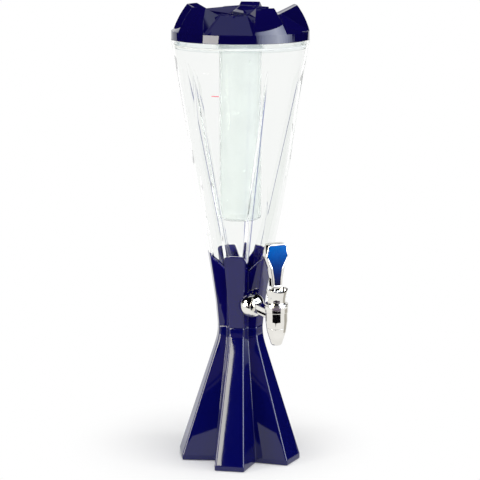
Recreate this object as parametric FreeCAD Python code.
"""Table-top drink tower: star foot and collar, fluted clear reservoir, crown lid, ice tube, lever tap.

Millimetres. +Z is up, the origin is on the tower's axis where the mat meets the table, and the tap points
to -Y. Azimuths are counted from -Y towards +X, so the tap stands in the valley at azimuth 0 and the five arms
of the star are at 36, 108, 180, 252 and 324 degrees. Every star section is given by three sizes: the distance
from the axis to an arm's flat end, half the width of that end, and the radius of the valley between two arms.
"""
import FreeCAD, Part
import math
import os

V = FreeCAD.Vector

# --- the star -----------------------------------------------------------------------------------------------
ARMS = 5
ARM_STEP = 360.0 / ARMS
FIRST_ARM = ARM_STEP / 2.0

# --- foot ---------------------------------------------------------------------------------------------------
mat_thickness = 2.0
mat_setback = 5.0
cover_thickness = 3.0
cover_gap = 0.3
skirt_bottom = 1.0
skirt_height = 7.3
foot_height = 205.0
foot_wall = 3.0
foot_deck = 5.0
foot_face = 90.9
foot_half = 21.9
foot_valley = 52.8
flare_length = 26.0
flare_face = 36.2
flare_half = 10.9
flare_valley = 28.2
waist_face = 33.2
waist_half = 10.5
waist_valley = 26.7
waist_band = 14.0
arm_corner = 2.2

# --- collar -------------------------------------------------------------------------------------------------
collar_height = 111.3
collar_wall = 2.5
collar_floor = 7.0
collar_low_rise = 35.0
collar_low_face = 36.3
collar_low_half = 11.6
collar_low_valley = 26.8
collar_mid_rise = 75.0
collar_mid_face = 42.0
collar_mid_half = 14.2
collar_mid_valley = 27.3
collar_top_face = 47.6
collar_top_half = 16.4
collar_top_valley = 28.6
petal_dip = 27.0
petal_side_drop = 4.2
petal_corner = 4.0
petal_bend_in = 1.6
petal_bend_drop = 1.05
collar_corner = 1.4

# --- reservoir ----------------------------------------------------------------------------------------------
reservoir_wall = 3.0
nested_wall = 2.6
nest_gap = 0.3
seat_gasket = 2.0
reservoir_floor = 5.0
rim_radius = 101.0
rim_step = 0.6
rim_lip = 3.7
reservoir_rise = 314.9
lobe_crown_low = 0.3
lobe_low_rise = 64.0
lobe_low_half = 22.9
lobe_low_depth = 15.9
lobe_low_crown = 1.2
lobe_mid_rise = 134.0
lobe_mid_half = 33.4
lobe_mid_depth = 12.0
lobe_mid_crown = 4.9
lobe_high_rise = 250.0
lobe_high_half = 51.0
lobe_high_depth = 5.6
groove_start_rise = 274.0
groove_start_gap = 0.6
groove_start_depth = 0.6

# --- screws and bolt that hold the column together ----------------------------------------------------------
hole_gap = 0.05
cover_screw_circle = 62.0
cover_screw_shank = 1.75
cover_screw_head = 3.5
cover_screw_head_height = 1.8
cover_screw_length = 12.0
cover_boss_radius = 4.6
cover_boss_height = 24.0
boss_rib = 2.6
collar_screw_circle = 22.0
collar_screw_shank = 2.0
collar_screw_head = 3.6
collar_screw_head_height = 2.4
collar_screw_length = 10.5
bolt_shank = 4.0
bolt_clearance = 0.5
bolt_head_flats = 13.0
bolt_head_height = 5.3
bolt_grip = 26.0
washer_radius = 12.0
washer_thickness = 2.0
bolt_boss_radius = 9.0
bolt_boss_height = 18.0

# --- lid ----------------------------------------------------------------------------------------------------
lid_gap = 0.3
band_height = 12.5
lid_rise = 49.0
block_top_setback = 18.5
block_bulge = 1.9
block_rim_half_angle = 15.3
block_top_half_angle = 10.0
court_radius = 58.0
court_drop = 12.5
notch_rim_half = 30.5
notch_inner_distance = 56.9
notch_inner_half = 19.0
notch_bevel = 2.0
star_tip_radius = 57.0
star_tip_drop = 5.0
star_tip_half = 1.0
star_inner_radius = 22.7
star_inner_drop = 11.3
star_root = 0.5
lid_skin = 3.0
lid_recess_depth = 3.4
pocket_half_low = 17.0
pocket_half_high = 9.0
pocket_inner = 67.0
pocket_low_setback = 8.0
pocket_high_setback = 14.5
pocket_roof_drop = 12.5
liner_thickness = 3.0
liner_gap = 0.2
plug_gap = 0.6
plug_wall = 2.8
plug_depth = 12.5
seal_height = 3.0
seal_rise = 3.0
seal_seat = 1.5
seal_gap = 0.3
liner_screw_circle = 70.0
liner_screw_shank = 1.5
liner_screw_head = 3.0
liner_screw_head_height = 2.0
liner_screw_length = 11.0
liner_boss_radius = 4.2
liner_boss_cover = 1.0

# --- ice tube -----------------------------------------------------------------------------------------------
tube_radius = 30.9
tube_wall = 2.4
tube_length = 264.5
tube_corner = 6.0
tube_top_gap = 0.3
tube_gasket_thickness = 1.6
socket_gap = 0.3
socket_wall = 3.0
socket_depth = 15.0
lug_height = 3.0
lug_reach = 1.8
lug_drop = 7.0
lug_gap = 0.3
lug_half_angle = 7.0
lug_count = 3
lug_turn = 60.0

# --- tap ----------------------------------------------------------------------------------------------------
tap_rise = 37.0
tap_reach = 121.5
boss_front = 38.0
tap_boss_radius = 17.8
dome_radius = 18.5
dome_height = 15.0
dome_flat = 10.0
gasket_thickness = 2.0
shank_square = 13.6
shank_chamfer = 1.0
tail_radius = 8.0
tail_gap = 0.3
tail_end = 10.0
shank_bore = 4.0
inner_pad = 19.0
inner_pad_radius = 12.9
inner_gasket_radius = 12.0
nut_flats = 21.0
nut_height = 6.0
tap_face = 16.3
spigot_radius = 5.6
spigot_length = 4.0
joint_washer_radius = 6.8
joint_washer_thickness = 1.5
ring_radius = 16.8
ring_low = 7.0
ring_high = 20.0
ring_round = 1.0
body_top_radius = 16.0
body_belly_drop = 6.0
body_split = 16.0
body_split_radius = 14.6
chamber_radius = 9.0
seat_drop = 6.0
seat_thickness = 4.0
seat_bore = 4.5
nozzle_tip_radius = 8.0
nozzle_length = 25.5
nozzle_shoulder_drop = 5.5
nozzle_shoulder_radius = 13.8
nozzle_bore = 5.0
nozzle_spigot = 8.4
nozzle_spigot_height = 5.6
nozzle_chamfer = 1.6
bonnet_thread = 10.4
bonnet_thread_depth = 12.0
bonnet_foot_radius = 12.9
bonnet_waist_height = 6.0
bonnet_height = 21.5
bonnet_rim_radius = 15.9
bonnet_arch_radius = 32.0
bonnet_wall = 1.5
spring_seat_depth = 4.0
spring_bore = 7.5
stem_radius = 3.0
stem_top = 33.5
stem_gap = 0.05
stem_bite = 1.5
stem_collar = 6.6
stem_collar_height = 2.0
valve_radius = 6.8
valve_thickness = 3.0
valve_gap = 0.05
oring_section = 1.0
oring_height = 16.0
spring_wire = 0.5
spring_radius = 5.2
spring_turns = 5.0
spring_end_gap = 0.1
pivot_height = 30.0
pivot_offset = 5.0
pivot_radius = 2.0
pivot_half_length = 12.2
pivot_gap = 0.06
fork_inner = 3.6
fork_outer = 6.2
fork_eye = 3.7
stem_pin_radius = 1.4
stem_pin_half = 6.2
slot_clearance = 0.45
handle_swing = 35.0
fork_bridge_rise = 38.5
neck_top_rise = 43.5
neck_front = 2.0
neck_back = 7.0
neck_half = 5.0
stud_radius = 3.0
stud_length = 14.0
paddle_behind = 11.0
paddle_ahead = 2.5
paddle_top_rise = 107.0
paddle_bottom_gap = 0.2
paddle_top_half = 13.6
paddle_wide_rise = 89.0
paddle_wide_half = 17.6
paddle_slim_rise = 70.5
paddle_slim_half = 11.2
paddle_neck_rise = 56.0
paddle_neck_half = 8.5
paddle_foot_half = 7.6
paddle_edge = 1.4
inset_margin = 2.5
inset_depth = 1.2
inset_proud = 0.3
inset_gap = 0.1

# --- heights and places that follow from the sizes above ----------------------------------------------------
skirt_top = skirt_bottom + skirt_height
waist_low = foot_height - waist_band
flare_top = foot_height - flare_length
deck_bottom = foot_height - foot_deck
cover_top = mat_thickness + cover_thickness
collar_top = foot_height + collar_height
collar_floor_top = foot_height + collar_floor
reservoir_bottom = collar_floor_top + seat_gasket
reservoir_floor_top = reservoir_bottom + reservoir_floor
rim_top = collar_top + reservoir_rise
lip_bottom = rim_top - rim_lip
rim_under = rim_radius - rim_step
cone_slope = (rim_under - collar_top_face) / (lip_bottom - collar_top)
groove_start = collar_top + groove_start_rise
lid_bottom = rim_top + lid_gap
band_top = lid_bottom + band_height
lid_top = lid_bottom + lid_rise
court_floor = lid_top - court_drop
block_top_radius = rim_radius - block_top_setback
pocket_outer_low = rim_radius - pocket_low_setback
pocket_outer_high = rim_radius - pocket_high_setback
notch_rim_distance = math.sqrt(rim_radius ** 2 - notch_rim_half ** 2)
liner_top = lid_bottom + liner_thickness
liner_radius = rim_under + cone_slope * (lid_bottom - lip_bottom) - reservoir_wall - plug_gap
plug_low = lid_bottom - plug_depth
seal_low = plug_low + seal_rise
tap_height = foot_height + tap_rise
seat_top = tap_height - seat_drop
ring_top = tap_height + ring_high
pivot_z = tap_height + pivot_height
pivot_y = -(tap_reach + pivot_offset)
body_end = tap_reach - tap_face
paddle_back = tap_reach - paddle_behind
paddle_front = tap_reach + paddle_ahead
dome_back = boss_front + gasket_thickness
shoulder = dome_back + dome_height * math.sqrt(1.0 - (dome_flat / dome_radius) ** 2)


# --- small tools --------------------------------------------------------------------------------------------
def polar(distance, azimuth, height=0.0, side=0.0):
    """Point at a distance from the axis along an azimuth, moved sideways towards a larger azimuth."""
    turn = math.radians(azimuth)
    x = distance * math.sin(turn) + side * math.cos(turn)
    y = -distance * math.cos(turn) + side * math.sin(turn)
    return V(x, y, height)


def arm_azimuths():
    return [FIRST_ARM + ARM_STEP * number for number in range(ARMS)]


def valley_azimuths():
    return [ARM_STEP * number for number in range(ARMS)]


def rounded_wire(points, radii):
    """Closed wire through the points, with a tangent arc of the given radius at each (0 keeps it sharp)."""
    count = len(points)
    corners = []
    for index in range(count):
        point = points[index]
        before = (points[index - 1] - point).normalize()
        after = (points[(index + 1) % count] - point).normalize()
        if radii[index] == 0:
            corners.append((point, None, point))
            continue
        half = math.acos(max(-1.0, min(1.0, before.dot(after)))) / 2.0
        reach = radii[index] / math.tan(half)
        inward = (before + after).normalize()
        middle = point + inward * (radii[index] / math.sin(half) - radii[index])
        corners.append((point + before * reach, middle, point + after * reach))
    edges = []
    for index in range(count):
        start, middle, end = corners[index]
        following = corners[(index + 1) % count][0]
        if middle is not None:
            edges.append(Part.Arc(start, middle, end).toShape())
        edges.append(Part.LineSegment(end, following).toShape())
    return Part.Wire(edges)


def ruled_solid(wires):
    """Solid with straight rulings from each wire to the next."""
    return Part.makeLoft(wires, True, True)


def cylinder(radius, low, high, x=0.0, y=0.0):
    return Part.makeCylinder(radius, high - low, V(x, y, low), V(0, 0, 1))


def cylinder_y(radius, near, far, height, x=0.0):
    """Cylinder along the tap's direction, from one distance in front of the axis to another."""
    return Part.makeCylinder(radius, far - near, V(x, -near, height), V(0, -1, 0))


def cylinder_x(radius, half_length, y, height):
    return Part.makeCylinder(radius, 2.0 * half_length, V(-half_length, y, height), V(1, 0, 0))


def ring(outer, inner, low, high, x=0.0, y=0.0):
    return cylinder(outer, low, high, x, y).cut(cylinder(inner, low - 1.0, high + 1.0, x, y))


def turned(points, radii, x=0.0, y=0.0):
    """Body of revolution about a vertical axis at (x, y), from (radius, height) points."""
    outline = rounded_wire([V(x + radius, y, height) for radius, height in points], radii)
    return Part.Face(outline).revolve(V(x, y, 0), V(0, 0, 1), 360.0)


def hexagon(flats, low, high):
    """Hexagonal prism about the Z axis, by its width across flats."""
    corner = flats / math.sqrt(3.0)
    points = [polar(corner, 60.0 * number + 30.0, low) for number in range(6)]
    return Part.Face(Part.makePolygon(points + points[:1])).extrude(V(0, 0, high - low))


def fuse_all(shapes):
    return shapes[0].multiFuse(shapes[1:]).removeSplitter()


def beyond(point, normal):
    """Large block that fills the side of a plane towards which its normal points."""
    size = 4.0 * rim_radius
    block = Part.makeBox(size, size, size, V(-size / 2.0, -size / 2.0, 0))
    turn = FreeCAD.Rotation(V(0, 0, 1), normal)
    block.Placement = FreeCAD.Placement(point, turn)
    return block


# --- star sections ------------------------------------------------------------------------------------------
def inset_star(face, half, valley, wall):
    """Sizes of the star whose outline lies one wall inside the given star."""
    step = math.radians(ARM_STEP / 2.0)
    corner = V(face, half, 0)
    notch = V(valley * math.cos(step), valley * math.sin(step), 0)
    along = (notch - corner).normalize()
    start = corner - V(along.y, -along.x, 0) * wall
    travel = (face - wall - start.x) / along.x
    new_half = start.y + travel * along.y
    ray = V(math.cos(step), math.sin(step), 0)
    new_valley = (start.x * along.y - start.y * along.x) / (ray.x * along.y - ray.y * along.x)
    return face - wall, new_half, new_valley


def star_wire(height, sizes, corner):
    face, half, valley = sizes
    points = []
    radii = []
    for azimuth in arm_azimuths():
        points.append(polar(face, azimuth, height, -half))
        points.append(polar(face, azimuth, height, half))
        points.append(polar(valley, azimuth + ARM_STEP / 2.0, height))
        radii.extend([corner, corner, 0])
    return rounded_wire(points, radii)


def lobe_wire(height, sizes, crown):
    """Star section whose ends are arcs: their middle stands one crown further out than their corners."""
    face, half, valley = sizes
    edges = []
    for azimuth in arm_azimuths():
        left = polar(face - crown, azimuth, height, -half)
        right = polar(face - crown, azimuth, height, half)
        middle = polar(face, azimuth, height)
        notch = polar(valley, azimuth + ARM_STEP / 2.0, height)
        next_left = polar(face - crown, azimuth + ARM_STEP, height, -half)
        edges.append(Part.Arc(left, middle, right).toShape())
        edges.append(Part.LineSegment(right, notch).toShape())
        edges.append(Part.LineSegment(notch, next_left).toShape())
    return Part.Wire(edges)


def inset_lobe(sizes, crown, wall):
    """Sizes of the lobed section one wall further in: corners as in a star, the same crown."""
    face, half, valley = sizes
    corner_face, new_half, new_valley = inset_star(face - crown, half, valley, wall)
    return corner_face + crown, new_half, new_valley


def mix(low, high, share):
    return tuple(a + (b - a) * share for a, b in zip(low, high))


FOOT = [
    (skirt_bottom, (foot_face, foot_half, foot_valley)),
    (skirt_top, (foot_face, foot_half, foot_valley)),
    (flare_top, (flare_face, flare_half, flare_valley)),
    (waist_low, (waist_face + 0.2, waist_half, waist_valley + 0.2)),
    (foot_height, (waist_face, waist_half, waist_valley)),
]
COLLAR = [
    (foot_height, (waist_face, waist_half, waist_valley)),
    (foot_height + collar_low_rise, (collar_low_face, collar_low_half, collar_low_valley)),
    (foot_height + collar_mid_rise, (collar_mid_face, collar_mid_half, collar_mid_valley)),
    (collar_top, (collar_top_face, collar_top_half, collar_top_valley)),
]


def section_at(sections, height):
    """Sizes of a star body at a height between two of its sections."""
    for (low, low_sizes), (high, high_sizes) in zip(sections, sections[1:]):
        if height <= high:
            break
    return mix(low_sizes, high_sizes, (height - low) / (high - low))


def cone_radius(height):
    """Outer radius of the reservoir's cone, from the collar's top to under its rim."""
    return collar_top_face + cone_slope * (height - collar_top)


def round_section(radius):
    """Sizes and crown where the grooves run out: five arcs of one circle with small notches between them."""
    half = radius * math.sin(math.radians(ARM_STEP / 2.0) - groove_start_gap / radius)
    return (radius, half, radius - groove_start_depth), radius - math.sqrt(radius ** 2 - half ** 2)


def lobe_sections():
    """(height, sizes, crown) of the reservoir's fluted wall, from inside the collar to the grooves' tops."""
    rows = [(height, sizes, lobe_crown_low) for height, sizes in COLLAR[2:]]
    for rise, half, depth, crown in (
        (lobe_low_rise, lobe_low_half, lobe_low_depth, lobe_low_crown),
        (lobe_mid_rise, lobe_mid_half, lobe_mid_depth, lobe_mid_crown),
    ):
        radius = cone_radius(collar_top + rise)
        rows.append((collar_top + rise, (radius, half, radius - depth), crown))
    radius = cone_radius(collar_top + lobe_high_rise)
    crown = radius - math.sqrt(radius ** 2 - lobe_high_half ** 2)
    rows.append((collar_top + lobe_high_rise, (radius, lobe_high_half, radius - lobe_high_depth), crown))
    rows.append((groove_start,) + round_section(cone_radius(groove_start)))
    return rows


def petal_zone(gap):
    """Room of the collar: everything below the line of petal tops and the dips between them."""
    zone = cylinder(rim_radius, foot_height - 1.0, collar_top + gap)
    step = math.radians(ARM_STEP / 2.0)
    corner_side = collar_top_face * math.sin(step) - collar_top_half * math.cos(step)
    dip = collar_top - petal_dip + gap
    shoulder_height = collar_top - petal_side_drop + gap
    bend_height = collar_top - petal_bend_drop + gap
    over = collar_top + 10.0
    near = 5.0
    for azimuth in valley_azimuths():
        right = [
            polar(near, azimuth, dip, 0),
            polar(near, azimuth, shoulder_height, corner_side),
            polar(near, azimuth, bend_height, corner_side + petal_bend_in),
            polar(near, azimuth, collar_top + gap, corner_side + petal_corner),
            polar(near, azimuth, over, corner_side + petal_corner),
        ]
        left = [
            polar(near, azimuth, over, -corner_side - petal_corner),
            polar(near, azimuth, collar_top + gap, -corner_side - petal_corner),
            polar(near, azimuth, bend_height, -corner_side - petal_bend_in),
            polar(near, azimuth, shoulder_height, -corner_side),
        ]
        outline = right + left
        face = Part.Face(Part.makePolygon(outline + outline[:1]))
        zone = zone.cut(face.extrude(polar(rim_radius, azimuth)))
    return zone


# --- foot ---------------------------------------------------------------------------------------------------
def make_foot_shell():
    outside = ruled_solid([star_wire(height, sizes, arm_corner) for height, sizes in FOOT])
    hollow = []
    for height, sizes in FOOT[:-1]:
        hollow.append((height, inset_star(*sizes, foot_wall)))
    hollow[0] = (skirt_bottom - 1.0, hollow[0][1])
    hollow.append((deck_bottom, inset_star(*section_at(FOOT, deck_bottom), foot_wall)))
    shell = outside.cut(ruled_solid([star_wire(height, sizes, 0) for height, sizes in hollow]))
    posts = []
    for azimuth in arm_azimuths():
        centre = polar(cover_screw_circle, azimuth)
        post = cylinder(cover_boss_radius, cover_top, cover_top + cover_boss_height, centre.x, centre.y)
        rib = Part.makeBox(foot_face, boss_rib, cover_boss_height, V(0, -boss_rib / 2.0, 0))
        rib.Placement = FreeCAD.Placement(V(centre.x, centre.y, cover_top),
                                          FreeCAD.Rotation(V(0, 0, 1), azimuth - 90.0))
        posts.append(post.fuse(rib).common(outside))
    shell = fuse_all([shell] + posts)
    holes = [cylinder(bolt_shank + bolt_clearance, deck_bottom - 1.0, foot_height + 1.0)]
    for azimuth in arm_azimuths():
        centre = polar(cover_screw_circle, azimuth)
        holes.append(cylinder(cover_screw_shank + hole_gap, cover_top - 1.0,
                              mat_thickness + cover_screw_length + 1.0, centre.x, centre.y))
        centre = polar(collar_screw_circle, azimuth)
        holes.append(cylinder(collar_screw_shank + bolt_clearance / 2.0, deck_bottom - 1.0, foot_height + 1.0,
                              centre.x, centre.y))
    return shell.cut(Part.makeCompound(holes))


def make_bottom_cover():
    sizes = inset_star(foot_face, foot_half, foot_valley, foot_wall + cover_gap)
    plate = ruled_solid([star_wire(mat_thickness, sizes, 0), star_wire(cover_top, sizes, 0)])
    for azimuth in arm_azimuths():
        centre = polar(cover_screw_circle, azimuth)
        plate = plate.cut(cylinder(cover_screw_shank + hole_gap, 0, cover_top + 1.0, centre.x, centre.y))
    return plate


def make_mat():
    sizes = inset_star(foot_face, foot_half, foot_valley, mat_setback)
    mat = ruled_solid([star_wire(0, sizes, arm_corner), star_wire(mat_thickness, sizes, arm_corner)])
    for azimuth in arm_azimuths():
        centre = polar(cover_screw_circle, azimuth)
        mat = mat.cut(cylinder(cover_screw_head + 0.5, -1.0, mat_thickness + 1.0, centre.x, centre.y))
    return mat


def screw(shank, length, head, head_height, seat, x, y):
    """Pan-head screw pointing up: its head bears at the seat height and has a cross recess below."""
    body = cylinder(shank, seat, seat + length - shank, x, y)
    tip = Part.makeCone(shank, shank * 0.25, shank, V(x, y, seat + length - shank), V(0, 0, 1))
    cap = Part.makeCone(head * 0.8, head, head_height, V(x, y, seat - head_height), V(0, 0, 1))
    slot = head * 0.24
    recess_depth = head_height * 0.55
    for turn in (0.0, 90.0):
        bar = Part.makeBox(head * 1.1, slot, recess_depth, V(-head * 0.55, -slot / 2.0, 0))
        bar.Placement = FreeCAD.Placement(V(x, y, seat - head_height), FreeCAD.Rotation(V(0, 0, 1), turn))
        cap = cap.cut(bar)
    return fuse_all([cap, body, tip])


def screw_circle(circle, shank, length, head, head_height, seat):
    screws = []
    for azimuth in arm_azimuths():
        centre = polar(circle, azimuth)
        screws.append(screw(shank, length, head, head_height, seat, centre.x, centre.y))
    return Part.makeCompound(screws)


def make_tie_bolt():
    seat = deck_bottom - washer_thickness
    head = hexagon(bolt_head_flats, seat - bolt_head_height, seat)
    shank = cylinder(bolt_shank, seat, seat + bolt_grip)
    return fuse_all([head, shank])


def make_tie_washer():
    inner = bolt_shank + bolt_clearance / 2.0
    return ring(washer_radius, inner, deck_bottom - washer_thickness, deck_bottom)


# --- collar -------------------------------------------------------------------------------------------------
def collar_hollow():
    rows = [(collar_floor_top, inset_star(*section_at(COLLAR, collar_floor_top), collar_wall))]
    for height, sizes in COLLAR[1:]:
        rows.append((height, inset_star(*sizes, collar_wall)))
    rows.append((collar_top + 5.0, rows[-1][1]))
    return ruled_solid([star_wire(height, sizes, 0) for height, sizes in rows])


def make_collar_shell():
    outside = ruled_solid([star_wire(height, sizes, collar_corner) for height, sizes in COLLAR])
    hollow = collar_hollow()
    boss = cylinder_y(tap_boss_radius, inner_pad, boss_front, tap_height)
    collar = outside.common(petal_zone(0.0)).fuse(boss).cut(hollow)
    holes = [
        cylinder(bolt_shank + bolt_clearance, foot_height - 1.0, collar_floor_top + 1.0),
        cylinder_y(tail_radius + tail_gap, 1.0, boss_front + 1.0, tap_height),
    ]
    depth = deck_bottom + collar_screw_length + 0.5
    for azimuth in arm_azimuths():
        centre = polar(collar_screw_circle, azimuth)
        holes.append(cylinder(collar_screw_shank + hole_gap, foot_height - 1.0, depth, centre.x, centre.y))
    return collar.cut(Part.makeCompound(holes)).removeSplitter()


# --- reservoir ----------------------------------------------------------------------------------------------
def nested_rows(inset, low):
    """(height, sizes, crown) of a body nested in the collar, from a height up to the collar's top."""
    rows = []
    sections = [(low, section_at(COLLAR, low))] + COLLAR[1:]
    for height, sizes in sections:
        rows.append((height, inset_lobe(sizes, lobe_crown_low, inset), lobe_crown_low))
    return rows


def make_reservoir():
    rows = lobe_sections()
    fluted = ruled_solid([lobe_wire(*row) for row in rows]).cut(petal_zone(nest_gap))
    rim_cone = Part.makeCone(cone_radius(groove_start), cone_radius(lip_bottom), lip_bottom - groove_start,
                             V(0, 0, groove_start), V(0, 0, 1))
    lip = cylinder(rim_radius, lip_bottom, rim_top)
    nested = nested_rows(collar_wall + nest_gap, reservoir_bottom)
    nested.append((collar_top + 2.0, nested[-1][1], lobe_crown_low))
    root = ruled_solid([lobe_wire(*row) for row in nested])
    outside = fuse_all([fluted, rim_cone, lip, root])
    inner = nested_rows(collar_wall + nest_gap + nested_wall, reservoir_floor_top)
    for height, sizes, crown in rows[2:-1]:
        inner.append((height, inset_lobe(sizes, crown, reservoir_wall), crown))
    inner.append((groove_start,) + round_section(cone_radius(groove_start) - reservoir_wall))
    inner_low = ruled_solid([lobe_wire(*row) for row in inner])
    inner_high = Part.makeCone(cone_radius(groove_start) - reservoir_wall,
                               cone_radius(rim_top) - reservoir_wall,
                               rim_top - groove_start, V(0, 0, groove_start), V(0, 0, 1))
    shell = outside.cut(inner_low).cut(inner_high)
    pad = cylinder_y(inner_pad_radius, inner_pad, collar_low_face, tap_height).common(root)
    post = cylinder(bolt_boss_radius, reservoir_bottom, reservoir_bottom + bolt_boss_height)
    shell = fuse_all([shell, pad, post])
    bolt_top = deck_bottom - washer_thickness + bolt_grip
    holes = [
        cylinder(bolt_shank + hole_gap, reservoir_bottom - 1.0, bolt_top + 0.5),
        cylinder_y(tail_radius + tail_gap, inner_pad - 5.0, collar_mid_face, tap_height),
    ]
    return shell.cut(Part.makeCompound(holes))


def make_reservoir_gasket():
    outer = section_at(COLLAR, collar_floor_top)[2] - 2.0 * collar_wall
    return ring(outer, bolt_boss_radius, collar_floor_top, reservoir_bottom)


# --- lid ----------------------------------------------------------------------------------------------------
def lid_envelope():
    """Turned body of the crown before its notches: band, bulging blocks, their tops and the flat court."""
    rim = V(rim_radius, 0, band_top)
    edge = V(block_top_radius, 0, lid_top)
    across = (edge - rim).normalize()
    outward = V(across.z, 0, -across.x)
    middle = (rim + edge) * 0.5 + outward * block_bulge
    court_edge = V(court_radius, 0, court_floor)
    centre_top = V(0, 0, court_floor)
    centre_low = V(0, 0, lid_bottom)
    rim_low = V(rim_radius, 0, lid_bottom)
    edges = [
        Part.LineSegment(centre_low, rim_low).toShape(),
        Part.LineSegment(rim_low, rim).toShape(),
        Part.Arc(rim, middle, edge).toShape(),
        Part.LineSegment(edge, court_edge).toShape(),
        Part.LineSegment(court_edge, centre_top).toShape(),
        Part.LineSegment(centre_top, centre_low).toShape(),
    ]
    return Part.Face(Part.Wire(edges)).revolve(V(0, 0, 0), V(0, 0, 1), 360.0)


def plane_side(first, second, third, towards):
    """Block that fills the side of the plane through three points on which the fourth point lies."""
    normal = (second - first).cross(third - first).normalize()
    if normal.dot(towards - first) < 0:
        normal = normal * -1.0
    return beyond(first, normal)


def above_notch_floor(azimuth, drop):
    """Everything above a notch's floor plane, lowered by a drop."""
    return plane_side(polar(notch_rim_distance, azimuth, band_top - drop, -notch_rim_half),
                      polar(notch_rim_distance, azimuth, band_top - drop, notch_rim_half),
                      polar(notch_inner_distance, azimuth, court_floor - drop),
                      polar(rim_radius * 0.8, azimuth, 2.0 * lid_top))


def lid_notch(azimuth):
    """Room cut out over one arm: a sloping flat floor, a narrow bevel at each side and two leaning walls."""
    half_gap = ARM_STEP / 2.0 - block_rim_half_angle
    top_gap = ARM_STEP / 2.0 - block_top_half_angle
    inside = polar(rim_radius * 0.8, azimuth, 2.0 * lid_top)
    above = [above_notch_floor(azimuth, 0.0)]
    walls = beyond(V(0, 0, band_top), V(0, 0, 1))
    for sign in (-1.0, 1.0):
        rim_corner = polar(rim_radius, azimuth + sign * half_gap, band_top)
        top_corner = polar(block_top_radius, azimuth + sign * top_gap, lid_top)
        wall_foot = polar(notch_inner_distance, azimuth, court_floor, sign * (notch_inner_half + notch_bevel))
        floor_inner = polar(notch_inner_distance, azimuth, court_floor, sign * notch_inner_half)
        floor_rim = polar(notch_rim_distance, azimuth, band_top, sign * notch_rim_half)
        walls = walls.common(plane_side(rim_corner, top_corner, wall_foot, inside))
        above.append(plane_side(floor_rim, rim_corner, floor_inner, inside))
    return above[0].multiFuse(above[1:]).common(walls)


def lid_star():
    """Five-pointed star on the court: roof-shaped arms towards the notches, valleys towards the blocks."""
    low = court_floor - star_root
    apex = V(0, 0, lid_top)
    low_centre = V(0, 0, low)
    tip = lid_top - star_tip_drop
    tip_side = tip - star_tip_half / 2.0
    outline = []
    for azimuth in arm_azimuths():
        outline.append(polar(star_inner_radius, azimuth - ARM_STEP / 2.0, lid_top - star_inner_drop))
        outline.append(polar(star_tip_radius, azimuth, tip_side, -star_tip_half))
        outline.append(polar(star_tip_radius, azimuth, tip))
        outline.append(polar(star_tip_radius, azimuth, tip_side, star_tip_half))
    faces = []
    for first, second in zip(outline, outline[1:] + outline[:1]):
        first_low = V(first.x, first.y, low)
        second_low = V(second.x, second.y, low)
        faces.append(Part.Face(Part.makePolygon([first, second, apex, first])))
        faces.append(Part.Face(Part.makePolygon([first_low, second_low, second, first, first_low])))
        faces.append(Part.Face(Part.makePolygon([first_low, second_low, low_centre, first_low])))
    return Part.Solid(Part.makeShell(faces))


def notch_roof(distance):
    """Height of the room's ceiling under a notch floor, one skin below it, at a distance along the arm."""
    slope = (court_floor - band_top) / (notch_rim_distance - notch_inner_distance)
    return band_top + (notch_rim_distance - distance) * slope - lid_skin * math.sqrt(1.0 + slope ** 2)


def lid_hollow():
    """Recess for the liner, room under the slopes and a pocket in each block."""
    recess_top = lid_bottom + lid_recess_depth
    low_radius = liner_radius - lid_skin
    low_height = notch_roof(low_radius)
    roof = court_floor - lid_skin
    roof_radius = low_radius - (roof - low_height) * (low_radius - liner_screw_circle) / (
        notch_roof(liner_screw_circle) - low_height)
    recess = cylinder(liner_radius + liner_gap, lid_bottom - 1.0, recess_top)
    room = turned([(0, lid_bottom), (low_radius, lid_bottom), (low_radius, low_height), (roof_radius, roof),
                   (0, roof)], [0, 0, 0, 0, 0])
    pockets = []
    for azimuth in valley_azimuths():
        levels = []
        for height, outer, half in ((liner_top, pocket_outer_low, pocket_half_low),
                                    (lid_top - pocket_roof_drop, pocket_outer_high, pocket_half_high)):
            points = [polar(pocket_inner, azimuth, height, -half), polar(outer, azimuth, height, -half),
                      polar(outer, azimuth, height, half), polar(pocket_inner, azimuth, height, half)]
            levels.append(Part.makePolygon(points + points[:1]))
        pockets.append(ruled_solid(levels))
    return fuse_all([recess, room] + pockets)


def make_lid_crown():
    crown = lid_envelope()
    for azimuth in arm_azimuths():
        crown = crown.cut(lid_notch(azimuth))
    crown = crown.cut(lid_hollow()).fuse(lid_star())
    posts = []
    holes = []
    for azimuth in arm_azimuths():
        centre = polar(liner_screw_circle, azimuth)
        post = cylinder(liner_boss_radius, liner_top, court_floor, centre.x, centre.y)
        posts.append(post.cut(above_notch_floor(azimuth, liner_boss_cover)))
        holes.append(cylinder(liner_screw_shank + hole_gap, liner_top - 1.0,
                              lid_bottom + liner_screw_length + 1.0, centre.x, centre.y))
    return fuse_all([crown] + posts).cut(Part.makeCompound(holes))


def plug_radius(height):
    """Outer radius of the plug, which follows the taper of the reservoir's mouth."""
    return cone_radius(height) - reservoir_wall - plug_gap


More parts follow.
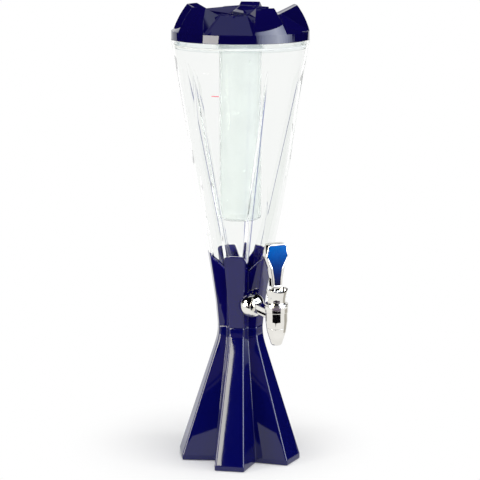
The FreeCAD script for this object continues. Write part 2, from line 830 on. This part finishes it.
def make_lid_liner():
    """Disc with the plug's skirt and the bayonet socket of the ice tube."""
    disc = cylinder(liner_radius, lid_bottom, liner_top)
    low_radius = plug_radius(plug_low)
    high_radius = plug_radius(lid_bottom)
    skirt = turned([(low_radius, plug_low), (high_radius, lid_bottom), (high_radius - plug_wall, lid_bottom),
                    (low_radius - plug_wall, plug_low)], [0.5, 0, 0, 0.5])
    groove = ring(liner_radius, plug_radius(seal_low) - seal_seat, seal_low, seal_low + seal_height)
    socket_inner = tube_radius + socket_gap
    socket_outer = socket_inner + lug_reach + socket_wall
    socket = ring(socket_outer, socket_inner, lid_bottom - socket_depth, lid_bottom)
    liner = fuse_all([disc, skirt.cut(groove), socket])
    lug_top = lid_bottom - lug_drop
    lug_low = lug_top - lug_height
    track_radius = tube_radius + lug_reach + lug_gap
    for number in range(lug_count):
        middle = 360.0 / lug_count * number
        sweep = lug_turn + 2.0 * lug_half_angle + 3.0
        track = ring_sector(track_radius, socket_inner - 1.0, lug_low - lug_gap, lug_top + lug_gap,
                            middle - lug_half_angle - 1.5, sweep)
        entry = ring_sector(track_radius, socket_inner - 1.0, lid_bottom - socket_depth - 1.0,
                            lug_top + lug_gap, middle + lug_turn - lug_half_angle - 1.5,
                            2.0 * lug_half_angle + 3.0)
        liner = liner.cut(track).cut(entry)
    for azimuth in arm_azimuths():
        centre = polar(liner_screw_circle, azimuth)
        liner = liner.cut(cylinder(liner_screw_shank + hole_gap, lid_bottom - 1.0, liner_top + 1.0,
                                   centre.x, centre.y))
    return liner


def ring_sector(outer, inner, low, high, start, sweep):
    """Part of a ring between two azimuths."""
    face = Part.Face(Part.makePolygon([polar(inner, start, low), polar(outer, start, low),
                                       polar(outer, start, high), polar(inner, start, high),
                                       polar(inner, start, low)]))
    return face.revolve(V(0, 0, 0), V(0, 0, 1), sweep)


def make_lid_seal():
    """Ring in the plug's groove, with its lip just short of the reservoir's wall."""
    high = seal_low + seal_height
    middle = (seal_low + high) / 2.0
    seat = plug_radius(seal_low) - seal_seat
    shoulder_radius = plug_radius(seal_low) - seal_gap
    lip = plug_radius(middle) + plug_gap - seal_gap
    points = [(seat, seal_low), (shoulder_radius, seal_low), (lip, middle), (shoulder_radius, high),
              (seat, high)]
    return turned(points, [0, 0, 0.3, 0, 0])


# --- ice tube -----------------------------------------------------------------------------------------------
def make_ice_tube():
    top = lid_bottom - tube_gasket_thickness - tube_top_gap
    low = top - tube_length
    inner = tube_radius - tube_wall
    tube = turned([(0, low), (tube_radius, low), (tube_radius, top), (inner, top), (inner, low + tube_wall),
                   (0, low + tube_wall)], [0, tube_corner, 0, 0, tube_corner - tube_wall, 0])
    lug_top = lid_bottom - lug_drop
    lugs = []
    for number in range(lug_count):
        middle = 360.0 / lug_count * number
        lugs.append(ring_sector(tube_radius + lug_reach, inner + 0.5, lug_top - lug_height, lug_top,
                                middle - lug_half_angle, 2.0 * lug_half_angle))
    return fuse_all([tube] + lugs)


def make_tube_gasket():
    top = lid_bottom
    inner = tube_radius - tube_wall
    return ring(tube_radius, inner, top - tube_gasket_thickness, top)


# --- tap ----------------------------------------------------------------------------------------------------
def make_rosette():
    """Dome on the collar: half an ellipse turned about the shank, flat where the shank's square starts."""
    points = []
    steps = 10
    last = math.acos(dome_flat / dome_radius)
    for number in range(steps + 1):
        angle = last * number / steps
        points.append(V(0, -(dome_back + dome_height * math.sin(angle)),
                        tap_height + dome_radius * math.cos(angle)))
    curve = Part.BSplineCurve()
    curve.interpolate(points)
    flat_end = V(0, -shoulder, tap_height)
    back = V(0, -dome_back, tap_height)
    edges = [curve.toShape(), Part.LineSegment(points[-1], flat_end).toShape(),
             Part.LineSegment(flat_end, back).toShape(), Part.LineSegment(back, points[0]).toShape()]
    dome = Part.Face(Part.Wire(edges)).revolve(V(0, 0, tap_height), V(0, 1, 0), 360.0)
    return dome.cut(cylinder_y(tail_radius + tail_gap, boss_front, shoulder + 1.0, tap_height))


def make_outer_gasket():
    outer = cylinder_y(tap_boss_radius - 0.8, boss_front, dome_back, tap_height)
    return outer.cut(cylinder_y(tail_radius + tail_gap, boss_front - 1.0, dome_back + 1.0, tap_height))


def make_inner_gasket():
    low = inner_pad - gasket_thickness
    outer = cylinder_y(inner_gasket_radius, low, inner_pad, tap_height)
    return outer.cut(cylinder_y(tail_radius + tail_gap, low - 1.0, inner_pad + 1.0, tap_height))


def make_lock_nut():
    far = inner_pad - gasket_thickness
    near = far - nut_height
    nut = hexagon(nut_flats, near, far)
    nut.Placement = FreeCAD.Placement(V(0, 0, tap_height), FreeCAD.Rotation(V(0, 0, 1), V(0, -1, 0)))
    return nut.cut(cylinder_y(tail_radius + hole_gap, near - 1.0, far + 1.0, tap_height))


def make_tap_shank():
    """Square bar with broken edges, a round threaded tail through the wall, a spigot into the tap's body."""
    half = shank_square / 2.0
    cut = shank_chamfer
    outline = [(-half + cut, -half), (half - cut, -half), (half, -half + cut), (half, half - cut),
               (half - cut, half), (-half + cut, half), (-half, half - cut), (-half, -half + cut)]
    points = [V(x, -shoulder, tap_height + z) for x, z in outline]
    bar_end = body_end - joint_washer_thickness
    bar = Part.Face(Part.makePolygon(points + points[:1])).extrude(V(0, shoulder - bar_end, 0))
    flange = cylinder_y(dome_flat - 0.6, shoulder, shoulder + 1.2, tap_height)
    tail = cylinder_y(tail_radius, tail_end, shoulder, tap_height)
    spigot = cylinder_y(spigot_radius, bar_end, body_end + spigot_length, tap_height)
    shank = fuse_all([bar, flange, tail, spigot])
    return shank.cut(cylinder_y(shank_bore, tail_end - 1.0, body_end + spigot_length + 1.0, tap_height))


def make_joint_washer():
    low = body_end - joint_washer_thickness
    outer = cylinder_y(joint_washer_radius, low, body_end, tap_height)
    return outer.cut(cylinder_y(spigot_radius + hole_gap, low - 1.0, body_end + 1.0, tap_height))


def make_tap_body():
    """Turned body: ring, belly that narrows to the nozzle, valve seat, chamber and the shank's boss."""
    low = tap_height - body_split
    ring_bottom = tap_height + ring_low
    outside = turned([(0, low), (body_split_radius, low), (body_top_radius, tap_height - body_belly_drop),
                      (body_top_radius, ring_bottom), (ring_radius, ring_bottom), (ring_radius, ring_top),
                      (0, ring_top)],
                     [0, 0, 4.0 * ring_round, 0, ring_round / 2.0, ring_round, 0], 0, -tap_reach)
    boss = cylinder_y(joint_washer_radius, body_end, tap_reach, tap_height)
    body = outside.fuse(boss)
    seat_low = seat_top - seat_thickness
    holes = [
        cylinder(nozzle_spigot + hole_gap, low - 1.0, seat_low, 0, -tap_reach),
        cylinder(seat_bore, seat_low - 1.0, seat_top + 1.0, 0, -tap_reach),
        cylinder(chamber_radius, seat_top, ring_top + 1.0, 0, -tap_reach),
        cylinder(bonnet_thread + hole_gap, ring_top - bonnet_thread_depth, ring_top + 1.0, 0, -tap_reach),
        cylinder_y(spigot_radius + hole_gap, body_end - 1.0, body_end + spigot_length + 0.5, tap_height),
        cylinder_y(shank_bore, body_end, tap_reach, tap_height),
    ]
    return body.cut(fuse_all(holes))


def make_tap_nozzle():
    top = tap_height - body_split
    low = top - nozzle_length
    high = top + nozzle_spigot_height
    points = [(nozzle_bore, low), (nozzle_tip_radius - nozzle_chamfer, low), (nozzle_tip_radius, low + 2.0),
              (nozzle_shoulder_radius, top - nozzle_shoulder_drop), (body_split_radius, top),
              (nozzle_spigot, top), (nozzle_spigot, high), (nozzle_bore, high)]
    return turned(points, [0.5, 0.4, 0.8, 8.0, 0, 0, 0, 0], 0, -tap_reach)


def make_tap_bonnet():
    """Flared cup screwed into the body, with an arched rim, the stem's guide and the pin's two holes."""
    low = ring_top - bonnet_thread_depth
    floor_low = ring_top - spring_seat_depth
    floor_high = ring_top + 1.5
    waist = ring_top + bonnet_waist_height
    rim = ring_top + bonnet_height
    guide = stem_radius + stem_gap
    cup = turned([(guide, floor_low), (spring_bore, floor_low), (spring_bore, low), (bonnet_thread, low),
                  (bonnet_thread, ring_top), (bonnet_foot_radius, ring_top), (bonnet_foot_radius, waist),
                  (bonnet_rim_radius, rim), (bonnet_rim_radius - bonnet_wall, rim),
                  (bonnet_foot_radius - bonnet_wall, waist), (bonnet_foot_radius - bonnet_wall, floor_high),
                  (guide, floor_high)],
                 [0, 0, 0, 0, 0, 0, 3.0, 0.6, 0.6, 2.0, 0, 0], 0, -tap_reach)
    groove_low = tap_height + oring_height + 0.3
    groove = cylinder(guide + 2.0 * oring_section + 0.1, groove_low, groove_low + 2.0 * oring_section + 0.2,
                      0, -tap_reach)
    pin_hole = cylinder_x(pivot_radius + hole_gap, ring_radius, pivot_y, pivot_z)
    arch = cylinder_x(bonnet_arch_radius, ring_radius, -tap_reach, rim - bonnet_arch_radius)
    return cup.common(arch).cut(groove).cut(pin_hole)


def make_stem_oring():
    major = stem_radius + stem_gap + oring_section
    height = tap_height + oring_height + 0.4 + oring_section
    return Part.makeTorus(major, oring_section, V(0, -tap_reach, height), V(0, 0, 1))


def make_plunger_stem():
    """Stem with a collar over the valve washer and a cross hole for its pin."""
    washer_top = seat_top + valve_gap + valve_thickness
    stem = cylinder(stem_radius, washer_top - stem_bite, tap_height + stem_top, 0, -tap_reach)
    collar = cylinder(stem_collar, washer_top, washer_top + stem_collar_height, 0, -tap_reach)
    stem = fuse_all([stem, collar])
    return stem.cut(cylinder_x(stem_pin_radius, ring_radius, -tap_reach, pivot_z))


def make_stem_pin():
    return cylinder_x(stem_pin_radius, stem_pin_half, -tap_reach, pivot_z)


def make_valve_washer():
    low = seat_top + valve_gap
    disc = cylinder(valve_radius, low, low + valve_thickness, 0, -tap_reach)
    stem_low = low + valve_thickness - stem_bite
    return disc.cut(cylinder(stem_radius, stem_low, low + valve_thickness + 1.0, 0, -tap_reach))


def spring_span():
    low = seat_top + valve_gap + valve_thickness + stem_collar_height + spring_end_gap
    high = ring_top - spring_seat_depth - spring_end_gap
    return low, high


def make_return_spring():
    low, high = spring_span()
    rise = high - low - 2.0 * spring_wire
    helix = Part.makeHelix(rise / spring_turns, rise, spring_radius)
    start = V(spring_radius, 0, 0)
    section = Part.Wire([Part.makeCircle(spring_wire, start, V(0, 1, 0))])
    coil = Part.Wire(helix.Edges).makePipeShell([section], True, True)
    coil.translate(V(0, -tap_reach, low + spring_wire))
    return coil


def make_pivot_pin():
    return cylinder_x(pivot_radius, pivot_half_length, pivot_y, pivot_z)


def make_lever_fork():
    """Two cheeks on the pivot pin with slots for the stem's pin, the bridge over the stem, neck and stud."""
    slot_half = stem_pin_radius + slot_clearance
    far = pivot_offset / math.cos(math.radians(handle_swing))
    slot_near = -tap_reach - stem_pin_radius - slot_clearance
    slot_far = pivot_y + far + stem_pin_radius + slot_clearance
    back = slot_far + 1.6
    front = pivot_y - fork_eye
    bridge = tap_height + fork_bridge_rise
    neck_top = tap_height + neck_top_rise
    y_front = -tap_reach - neck_front
    y_back = -tap_reach + neck_back
    eye_low = pivot_z - fork_eye
    eye_high = pivot_z + fork_eye
    outline = [V(0, front, eye_low), V(0, back, eye_low), V(0, back, eye_high), V(0, y_back, bridge),
               V(0, y_back, neck_top), V(0, y_front, neck_top), V(0, y_front, bridge), V(0, front, eye_high)]
    cheek = Part.Face(rounded_wire(outline, [3.0, 3.0, 2.0, 0, 0, 0, 0, 3.0]))
    plate = cheek.extrude(V(2.0 * fork_outer, 0, 0))
    plate.translate(V(-fork_outer, 0, 0))
    over = 2.0 * ring_radius
    low = eye_low - 1.0
    gap = Part.makeBox(2.0 * fork_inner, 2.0 * over, bridge - low, V(-fork_inner, -tap_reach - over, low))
    slot_box = Part.makeBox(2.0 * over, slot_far - slot_near - 2.0 * slot_half, 2.0 * slot_half,
                            V(-over, slot_near + slot_half, pivot_z - slot_half))
    slot = fuse_all([slot_box, cylinder_x(slot_half, over, slot_near + slot_half, pivot_z),
                     cylinder_x(slot_half, over, slot_far - slot_half, pivot_z)])
    eye = cylinder_x(pivot_radius + pivot_gap, over, pivot_y, pivot_z)
    side = Part.makeBox(2.0 * neck_half, 2.0 * over, neck_top - bridge + 3.0,
                        V(-neck_half, -tap_reach - over, bridge - 2.0))
    lower = plate.common(Part.makeBox(2.0 * over, 2.0 * over, bridge - low, V(-over, -tap_reach - over, low)))
    fork = fuse_all([lower, plate.common(side)])
    stud_y = -(paddle_back + paddle_front) / 2.0
    stud = cylinder(stud_radius, neck_top - 1.0, neck_top + stud_length, 0, stud_y)
    return fuse_all([fork.cut(gap).cut(slot).cut(eye), stud])


def paddle_outline(y, margin, bottom):
    """Front outline of the paddle, a margin inside its full size."""
    base = tap_height
    half = [(paddle_foot_half, bottom + margin), (paddle_neck_half, base + paddle_neck_rise),
            (paddle_slim_half, base + paddle_slim_rise), (paddle_wide_half, base + paddle_wide_rise),
            (paddle_top_half, base + paddle_top_rise - margin)]
    round_half = [1.0, 30.0, 18.0, 7.0, 4.0]
    right = [V(width - margin, y, height) for width, height in half]
    left = [V(margin - width, y, height) for width, height in reversed(half)]
    return rounded_wire(right + left, round_half + list(reversed(round_half)))


def make_handle_paddle():
    bottom = tap_height + neck_top_rise + paddle_bottom_gap
    edge = paddle_edge
    sections = [(-paddle_back, edge), (-paddle_back - edge, 0.0), (-paddle_front + edge, 0.0),
                (-paddle_front, edge * 0.7)]
    paddle = ruled_solid([paddle_outline(y, margin, bottom) for y, margin in sections])
    pocket_face = Part.Face(paddle_outline(-paddle_front - 1.0, inset_margin, bottom + 1.0))
    pocket = pocket_face.extrude(V(0, 1.0 + inset_depth, 0))
    stud_y = -(paddle_back + paddle_front) / 2.0
    hole_top = tap_height + neck_top_rise + stud_length + 0.5
    hole = cylinder(stud_radius + hole_gap, bottom - 1.0, hole_top, 0, stud_y)
    return paddle.cut(pocket).cut(hole)


def make_handle_inset():
    bottom = tap_height + neck_top_rise + paddle_bottom_gap
    front = -paddle_front - inset_proud
    back = -paddle_front + inset_depth
    mid = front + 0.5
    sections = [(back, inset_margin + inset_gap), (mid, inset_margin + inset_gap),
                (front, inset_margin + inset_gap + 0.6)]
    return ruled_solid([paddle_outline(y, margin, bottom + 1.0) for y, margin in sections])


def make_cover_screws():
    return screw_circle(cover_screw_circle, cover_screw_shank, cover_screw_length, cover_screw_head,
                        cover_screw_head_height, mat_thickness)


def make_collar_screws():
    return screw_circle(collar_screw_circle, collar_screw_shank, collar_screw_length, collar_screw_head,
                        collar_screw_head_height, deck_bottom)


def make_liner_screws():
    return screw_circle(liner_screw_circle, liner_screw_shank, liner_screw_length, liner_screw_head,
                        liner_screw_head_height, lid_bottom)


PARTS = {
    "non_slip_mat": make_mat,
    "bottom_cover": make_bottom_cover,
    "cover_screws": make_cover_screws,
    "foot_shell": make_foot_shell,
    "tie_bolt": make_tie_bolt,
    "tie_washer": make_tie_washer,
    "collar_screws": make_collar_screws,
    "collar_shell": make_collar_shell,
    "reservoir_gasket": make_reservoir_gasket,
    "reservoir": make_reservoir,
    "lid_crown": make_lid_crown,
    "lid_liner": make_lid_liner,
    "liner_screws": make_liner_screws,
    "lid_seal": make_lid_seal,
    "ice_tube": make_ice_tube,
    "tube_gasket": make_tube_gasket,
    "shank_rosette": make_rosette,
    "outer_gasket": make_outer_gasket,
    "inner_gasket": make_inner_gasket,
    "lock_nut": make_lock_nut,
    "tap_shank": make_tap_shank,
    "joint_washer": make_joint_washer,
    "tap_body": make_tap_body,
    "tap_nozzle": make_tap_nozzle,
    "tap_bonnet": make_tap_bonnet,
    "stem_oring": make_stem_oring,
    "plunger_stem": make_plunger_stem,
    "stem_pin": make_stem_pin,
    "valve_washer": make_valve_washer,
    "return_spring": make_return_spring,
    "pivot_pin": make_pivot_pin,
    "lever_fork": make_lever_fork,
    "handle_paddle": make_handle_paddle,
    "handle_inset": make_handle_inset,
}


def main():
    os.makedirs("parts", exist_ok=True)
    for name, make in PARTS.items():
        shape = make()
        solids = shape.Solids
        box = shape.BoundBox
        print("%-17s solids %d valid %s volume %9.1f  z %.1f..%.1f" % (
            name, len(solids), all(solid.isValid() for solid in solids), shape.Volume, box.ZMin, box.ZMax))
        if shape.ShapeType != "Solid":
            shape = Part.makeCompound(solids) if len(solids) > 1 else solids[0]
        shape.exportStep("parts/%s.step" % name)


main()
